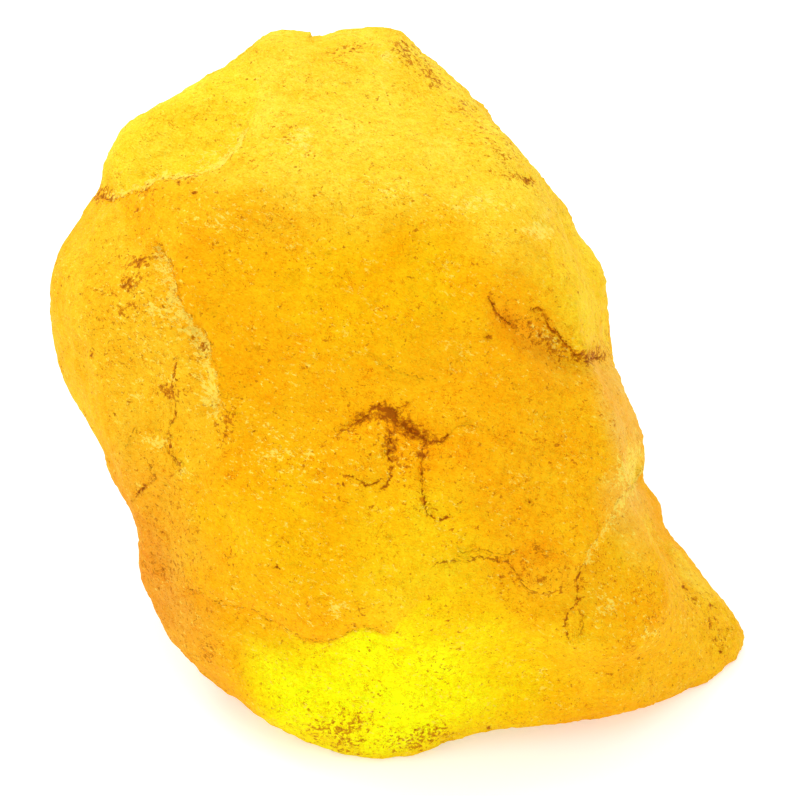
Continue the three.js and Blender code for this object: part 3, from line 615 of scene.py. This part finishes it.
def soften(piece):
    """Rounds off the crease along the wing, whose face is even up to its edge in the photograph."""
    places, facing = seen_from("face", coords(piece.data))
    within = facing * (1 - smoothstep(oval(places, *WING_CREASE), *CREASE_FADE))
    group = piece.vertex_groups.new(name="wing")
    for index in np.flatnonzero(within > 0.02).tolist():
        group.add([index], float(within[index]), "REPLACE")
    smooth = piece.modifiers.new("smooth", "SMOOTH")
    smooth.factor = 0.5
    smooth.iterations = CREASE_PASSES
    smooth.vertex_group = "wing"
    apply_modifiers(piece)
    piece.vertex_groups.clear()


def beside_seams(points):
    """For each seam: distance in mm, signed with the low side positive, and how much of it there is."""
    warp = seam_warp(points)
    views = {side: seen_from(side, points) for side in SIDES}
    found = []
    for seam in SEAMS:
        places, facing = views[seam["side"]]
        off, side, to_end = beside_line(seam["line"], places + warp)
        low_side = LOW_SIDE[seam.get("low", "right")]
        found.append((off * side * low_side, facing * smoothstep(to_end, 0.0, SEAM_END)))
    return found


def refine_near_seams(piece):
    """Makes the mesh finer beside the seams and around the spots."""
    near = np.zeros(len(piece.data.vertices), bool)
    points = coords(piece.data)
    for off, on in beside_seams(points):
        near |= (np.abs(off) < SEAM_BAND) & (on > 0.05)
    places, facing = seen_from("face", points)
    for across, up, _ in SPOTS:
        near |= (np.hypot(*(places - (across, up)).T) < SEAM_BAND) & (facing > 0.5)
    bm = bmesh.new()
    bm.from_mesh(piece.data)
    bm.verts.ensure_lookup_table()
    edges = [e for e in bm.edges if near[e.verts[0].index] and near[e.verts[1].index]]
    bmesh.ops.subdivide_edges(bm, edges=edges, cuts=SEAM_CUTS, use_grid_fill=True, smooth=0.0)
    bm.to_mesh(piece.data)
    bm.free()


def relief(piece):
    """Cuts the broken skin, its pits, flakes, ledges and cracks into the mesh."""
    mesh = piece.data
    points = coords(mesh)
    rise = np.full(len(points), SWELL)
    for height, length, seed, octaves in LUMPS:
        rise += height * fractal_at(points, length, seed, octaves)
    # flakes: a staircase of a noise gives small steps along wandering lines
    climb = fractal_at(points, FLAKE_LENGTH, seed=13.1) * FLAKE_STEPS
    step = np.floor(climb)
    rise += FLAKE_HEIGHT * (step + smoothstep(climb - step, FLAKE_FLAT, 1.0) - climb * FLAKE_FALL)
    rise -= PIT_DEPTH * smoothstep(noise_at(points, PIT_LENGTH, seed=31.7), *PIT_LEVELS)
    cut = GROOVE_SHARE + GROOVE_CHANGE * noise_at(points, GROOVE_CHANGE_LENGTH, seed=41.9)
    for seam, (off, on) in zip(SEAMS, beside_seams(points)):
        rise -= seam["depth"] * on * cut * np.exp(-((off / (seam["width"] + GROOVE_EXTRA)) ** 2))
        if "step" in seam:
            low = smoothstep(off, -STEP_WALL, STEP_WALL) * (1 - smoothstep(off, *STEP_RUN))
            rise -= seam["step"] * on * low
    above_base = smoothstep(points[:, 2], *BASE_HEIGHTS)
    points += normals(mesh) * (rise * (BASE_SHARE + (1 - BASE_SHARE) * above_base))[:, None]
    points[:, 2] = np.maximum(points[:, 2], 0)
    set_coords(mesh, points)


def patches(rows, views, warp):
    """The strongest patch at each vertex."""
    total = 0.0
    for _, side, centre, radii, turn, strength in rows:
        places, facing = views[side]
        out = oval(places + warp, centre, radii, turn)
        total = np.maximum(total, strength * facing * np.exp(-(out**2)))
    return total


def zone_colours(views, warp, line_warp):
    """The stone's colour at each vertex, with the painted light and shade of some zones: each zone is laid
    over those before it.
    """
    colour = np.tile(np.array(BODY_COLOUR), (len(warp), 1))
    for _, side, centre, radii, turn, soft, zone_colour, edge in ZONES:
        places, facing = views[side]
        out = oval(places + warp, centre, radii, turn)
        share = facing * (1 - smoothstep((out - 1) * min(radii), -soft, soft))
        if edge is not None:
            line, within = edge
            off, side_of, _ = beside_line(line, places + line_warp)
            share *= smoothstep(off * side_of * LOW_SIDE[within], *ZONE_EDGE)
        colour += share[:, None] * (np.array(zone_colour) - colour)
    return colour


def paint(piece):
    """Masks, painted highlights among them, and the stone's colour with some painted light and shade, as
    attributes on the mesh.
    """
    mesh = piece.data
    points = coords(mesh)
    views = {side: seen_from(side, points) for side in SIDES}
    warp = warp_at(points, length=1.6, reach=0.5, seeds=(1.7, 6.1))
    wide_warp = warp_at(points, length=6.0, reach=1.6, seeds=(2.9, 7.3))

    seam_off = np.full(len(points), NO_SEAM)
    seam_stain = np.zeros(len(points))
    stain = patches(STAINS, views, warp)
    pale = patches(PALE, views, warp)
    for seam, (off, on) in zip(SEAMS, beside_seams(points)):
        closer = (np.abs(off) < np.abs(seam_off)) & (on > 0)
        seam_off[closer] = off[closer]
        near = 1 - smoothstep(np.abs(off), *SEAM_REACH)
        seam_stain[closer] = (seam["stain"] * on * near)[closer]
        if "fill" in seam:
            stain = np.maximum(stain, FILL_STAIN * on * np.exp(-((off / seam["fill"]) ** 2)))
        if "pale" in seam:
            # a painted highlight on the ledge's broken wall, as if it caught the light
            band = smoothstep(off, -PALE_EDGE, PALE_EDGE) * np.exp(-((off / seam["pale_width"]) ** 2))
            pale = np.maximum(pale, seam["pale"] * on * band)

    places, facing = views["face"]
    for across, up, half_width in SPOTS:
        out = np.hypot(*(places + SPOT_WARP * warp - (across, up)).T) / half_width
        stain = np.maximum(stain, SPOT_STAIN * facing * np.exp(-(out**2)))

    store(mesh, "seam_off", seam_off)
    store(mesh, "seam_stain", seam_stain)
    store(mesh, "stain", stain)
    store(mesh, "pale", pale)
    rgba = np.ones((len(points), 4), np.float32)
    rgba[:, :3] = zone_colours(views, wide_warp, seam_warp(points))
    mesh.attributes.new("zone", "FLOAT_COLOR", "POINT").data.foreach_set("color", rgba.ravel())


def store(mesh, name, values):
    mesh.attributes.new(name, "FLOAT", "POINT").data.foreach_set("value", values.astype(np.float32))


# ---- Material ----
class Nodes:
    """Small helper that adds nodes to a tree and links them."""

    def __init__(self, tree):
        self.tree = tree

    def feed(self, socket, value):
        """Links a socket to another node's output, or sets its value."""
        if isinstance(value, bpy.types.NodeSocket):
            self.tree.links.new(value, socket)
        else:
            socket.default_value = value

    def add(self, kind, inputs=None, **settings):
        node = self.tree.nodes.new(kind)
        for key, value in settings.items():
            setattr(node, key, value)
        for key, value in (inputs or {}).items():
            self.feed(node.inputs[key], value)
        return node

    def attribute(self, name, output="Fac"):
        return self.add("ShaderNodeAttribute", attribute_name=name).outputs[output]

    def noise(self, place, length, detail=2.0, roughness=0.5, distortion=0.0):
        """Noise in 0 to 1, with features of that length in mm."""
        return self.add(
            "ShaderNodeTexNoise",
            {"Vector": place, "Scale": 1 / (length * MM), "Detail": detail, "Roughness": roughness,
             "Distortion": distortion},
        ).outputs["Fac"]

    def cells(self, place, length, wander):
        """A random value in 0 to 1 for each chip of that length in mm, with ragged borders."""
        scatter = self.add(
            "ShaderNodeTexNoise", {"Vector": place, "Scale": 1 / (length * MM), "Detail": 1.0}
        ).outputs["Color"]
        moved = self.add(
            "ShaderNodeVectorMath",
            {0: scatter, 1: (wander * MM,) * 3, 2: place},
            operation="MULTIPLY_ADD",
        ).outputs[0]
        chips = self.add("ShaderNodeTexVoronoi", {"Vector": moved, "Scale": 1 / (length * MM)})
        colour = chips.outputs["Color"]
        return self.add("ShaderNodeSeparateColor", {"Color": colour}).outputs["Red"]

    def math(self, operation, a, b=0.0, c=0.0, use_clamp=False):
        node = self.add("ShaderNodeMath", operation=operation, use_clamp=use_clamp)
        for socket, value in zip(node.inputs, (a, b, c)):
            self.feed(socket, value)
        return node.outputs[0]

    def centred(self, value):
        return self.math("SUBTRACT", value, 0.5)

    def sum(self, *terms, base=0.0):
        """The sum of (value, weight) terms over a base."""
        total = base
        for value, weight in terms:
            total = self.math("MULTIPLY_ADD", value, weight, total)
        return total

    def ramp(self, value, low, high, to_low=0.0, to_high=1.0):
        """Smooth step of a value between two limits."""
        return self.add(
            "ShaderNodeMapRange",
            {"Value": value, "From Min": low, "From Max": high, "To Min": to_low, "To Max": to_high},
            interpolation_type="SMOOTHSTEP",
        ).outputs["Result"]

    def mix(self, factor, a, b, blend_type="MIX"):
        inputs = {0: factor, 6: a, 7: b}
        return self.add("ShaderNodeMix", inputs, data_type="RGBA", blend_type=blend_type).outputs[2]


def sapphire_material():
    material = bpy.data.materials.new("rough_yellow_sapphire")
    material.use_nodes = True
    tree = material.node_tree
    tree.nodes.clear()
    n = Nodes(tree)
    place = n.add("ShaderNodeTexCoord").outputs["Object"]
    # noise is drawn out along the crystal's grain, which runs down to the right on the face
    along_grain = n.add(
        "ShaderNodeMapping",
        {"Vector": place, "Rotation": (0.0, 0.33, -0.29), "Scale": (1.7, 1.0, 1.0)},
        vector_type="TEXTURE",
    ).outputs["Vector"]

    grain = n.centred(n.noise(along_grain, 0.5, 3.0, 0.6))
    fine = n.centred(n.noise(along_grain, 0.1, 2.0, 0.6))
    mottle = n.centred(n.noise(place, 3.2, 3.0, 0.5))
    crumb = n.centred(n.noise(place, 0.3, 3.0, 0.65))
    chip = n.cells(along_grain, 0.5, 0.3)
    small_chip = n.cells(along_grain, 0.13, 0.12)

    # The stone's colour, yellower or more orange at every scale and from chip to chip, over its zones, some
    # of which are painted light and shade
    tone = n.sum((mottle, 0.45), (grain, 0.15), (fine, 0.7), (chip, 0.06), (small_chip, 0.1), base=0.925)
    deep = n.math("POWER", tone, 5.0)  # the deeper its yellow, the less blue is left
    tint = n.add("ShaderNodeCombineColor", {"Red": 1.0, "Green": tone, "Blue": deep}).outputs["Color"]
    colour = n.mix(1.0, n.attribute("zone", "Color"), tint, "MULTIPLY")
    streak = n.centred(n.noise(along_grain, 0.28, 3.0, 0.78))
    # painted glints: small bright flecks, scattered and in clusters
    clusters = n.ramp(n.noise(along_grain, 1.6, 3.0, 0.6), 0.35, 0.65, -0.07, 0.045)
    flecks = n.math("ADD", streak, clusters)
    colour = n.mix(n.ramp(flecks, 0.11, 0.17, 0.0, 0.6), colour, GLINT_FLECK)

    # Pale crystal skin, and painted highlights where crystals and broken walls catch the light
    pale = n.sum((n.attribute("pale"), 1.0), (streak, 3.6), (small_chip, 0.3))
    colour = n.mix(n.ramp(pale, 0.76, 1.0, 0.0, 0.75), colour, PALE_AND_HIGHLIGHT)

    # Hair-fine broken lines, where a noise crosses some levels, and fine specks
    wavy = n.centred(n.noise(along_grain, 0.6, 4.0, 0.7, 0.7))
    crowded = n.math("MULTIPLY_ADD", n.attribute("stain"), 1.6, 0.5, use_clamp=True)
    faint = n.math("MULTIPLY", n.ramp(n.math("PINGPONG", wavy, 0.05), 0.019, 0.004), crowded)
    line = n.ramp(n.math("ABSOLUTE", wavy), 0.02, 0.006)
    broken = n.ramp(n.noise(place, 0.5, 2.0, 0.5), 0.46, 0.55)
    where = n.ramp(n.noise(place, 2.0, 2.0, 0.6), 0.42, 0.65, 0.15, 1.0)
    speck = n.ramp(n.noise(place, 0.2, 1.0, 0.5), 0.3, 0.25)
    lines = n.math("MULTIPLY", line, broken)
    marks = n.math("MULTIPLY", n.math("MAXIMUM", lines, speck), where)
    marks = n.math("MAXIMUM", marks, n.math("MULTIPLY", faint, broken))
    colour = n.mix(marks, colour, DIRT, "MULTIPLY")

    # Brown iron stains, granular
    stain = n.sum((n.attribute("stain"), 1.0), (crumb, 3.2), (wavy, 1.4), (small_chip, 0.2), base=-0.1)
    colour = n.mix(n.ramp(stain, 0.45, 0.7, 0.0, 0.8), colour, BROWN)
    colour = n.mix(n.ramp(stain, 0.88, 1.1, 0.0, 0.75), colour, DARK_BROWN)

    # Brown seams, ragged and broken: their half width in mm changes along them, down to nothing
    off_seam = n.math("ABSOLUTE", n.sum((n.attribute("seam_off"), 1.0), (wavy, 0.6), (crumb, 0.6)))
    uneven = n.centred(n.noise(place, 0.6, 2.0, 0.6))
    half_width = n.sum((n.attribute("seam_stain"), 0.07), (uneven, 0.34), base=-0.015)
    half_width = n.math("MULTIPLY", half_width, n.ramp(n.attribute("seam_stain"), 0.0, 0.3))
    seam = n.ramp(n.math("SUBTRACT", off_seam, half_width), 0.01, -0.03)
    strength = n.math("MULTIPLY_ADD", n.attribute("seam_stain"), 0.4, 0.3)
    colour = n.mix(n.math("MULTIPLY", seam, strength), colour, DARK_BROWN)

    # The finest roughness, which is too small for the mesh
    height = n.sum((grain, 0.9), (fine, 0.5))
    bump = n.add("ShaderNodeBump", {"Strength": 1.0, "Distance": 0.2 * MM, "Height": height})

    shader = n.add(
        "ShaderNodeBsdfPrincipled",
        {
            "Base Color": colour,
            "Roughness": n.ramp(grain, -0.2, 0.2, 0.35, 0.6),
            "Normal": bump.outputs["Normal"],
            "IOR": 1.77,
            "Specular IOR Level": 0.0,
            "Specular Tint": (1.0, 0.75, 0.08, 1),
            "Transmission Weight": 0.18,
        },
    )
    inside = n.add("ShaderNodeVolumeAbsorption", {"Color": (0.997, 0.937, 0.01, 1), "Density": 700.0})
    output = n.add("ShaderNodeOutputMaterial")
    tree.links.new(shader.outputs["BSDF"], output.inputs["Surface"])
    tree.links.new(inside.outputs["Volume"], output.inputs["Volume"])
    return material


def floor_material():
    material = bpy.data.materials.new("white_floor")
    material.use_nodes = True
    shader = material.node_tree.nodes["Principled BSDF"]
    shader.inputs["Base Color"].default_value = (0.9, 0.9, 0.9, 1)
    shader.inputs["Roughness"].default_value = 0.9
    shader.inputs["Specular IOR Level"].default_value = 0.0
    shader.inputs["Emission Color"].default_value = (1, 1, 1, 1)
    shader.inputs["Emission Strength"].default_value = FLOOR_GLOW
    return material


# ---- Studio ----
def studio():
    bpy.ops.mesh.primitive_plane_add(size=FLOOR_SIZE, location=(0, 0, -FLOOR_GAP))
    floor = bpy.context.object
    floor.name = "floor"
    floor.data.materials.append(floor_material())

    world = bpy.data.worlds.new("studio")
    world.use_nodes = True
    background = world.node_tree.nodes["Background"]
    background.inputs["Color"].default_value = (1, 1, 1, 1)
    background.inputs["Strength"].default_value = WORLD_LIGHT
    bpy.context.scene.world = world

    light = bpy.data.lights.new("key", "AREA")
    light.shape = "DISK"
    light.size = SOFT_BOX_SIZE
    light.energy = SOFT_BOX_POWER
    lamp = bpy.data.objects.new("key", light)
    lamp.location = SOFT_BOX_PLACE
    lamp.rotation_euler = (-Vector(SOFT_BOX_PLACE)).to_track_quat("-Z", "Y").to_euler()
    bpy.context.scene.collection.objects.link(lamp)


def camera():
    data = bpy.data.cameras.new("camera")
    data.sensor_width = SENSOR
    data.lens = SENSOR * SIGHT_DISTANCE / (max(IMAGE_SIZE) * MM_PER_PIXEL)
    data.shift_x = (IMAGE_SIZE[0] / 2 - HEART_PIXEL[0]) / max(IMAGE_SIZE)
    data.shift_y = (HEART_PIXEL[1] - IMAGE_SIZE[1] / 2) / max(IMAGE_SIZE)
    data.clip_start = 0.01
    data.clip_end = 20
    seen_by = bpy.data.objects.new("camera", data)
    seen_by.location = Vector((HEART + SIGHT_DISTANCE * OUT_OF_FACE) * MM)
    seen_by.rotation_euler = Vector(-OUT_OF_FACE).to_track_quat("-Z", "Y").to_euler()
    bpy.context.scene.collection.objects.link(seen_by)
    bpy.context.scene.camera = seen_by


# ---- The scene ----
stone = even_stone()
soften(stone)
refine_near_seams(stone)
relief(stone)
paint(stone)
stone.data.materials.append(sapphire_material())
stone.data.shade_smooth()
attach(stone, "root")
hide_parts(NODE)

studio()
camera()
bpy.context.scene.view_settings.view_transform = "Standard"
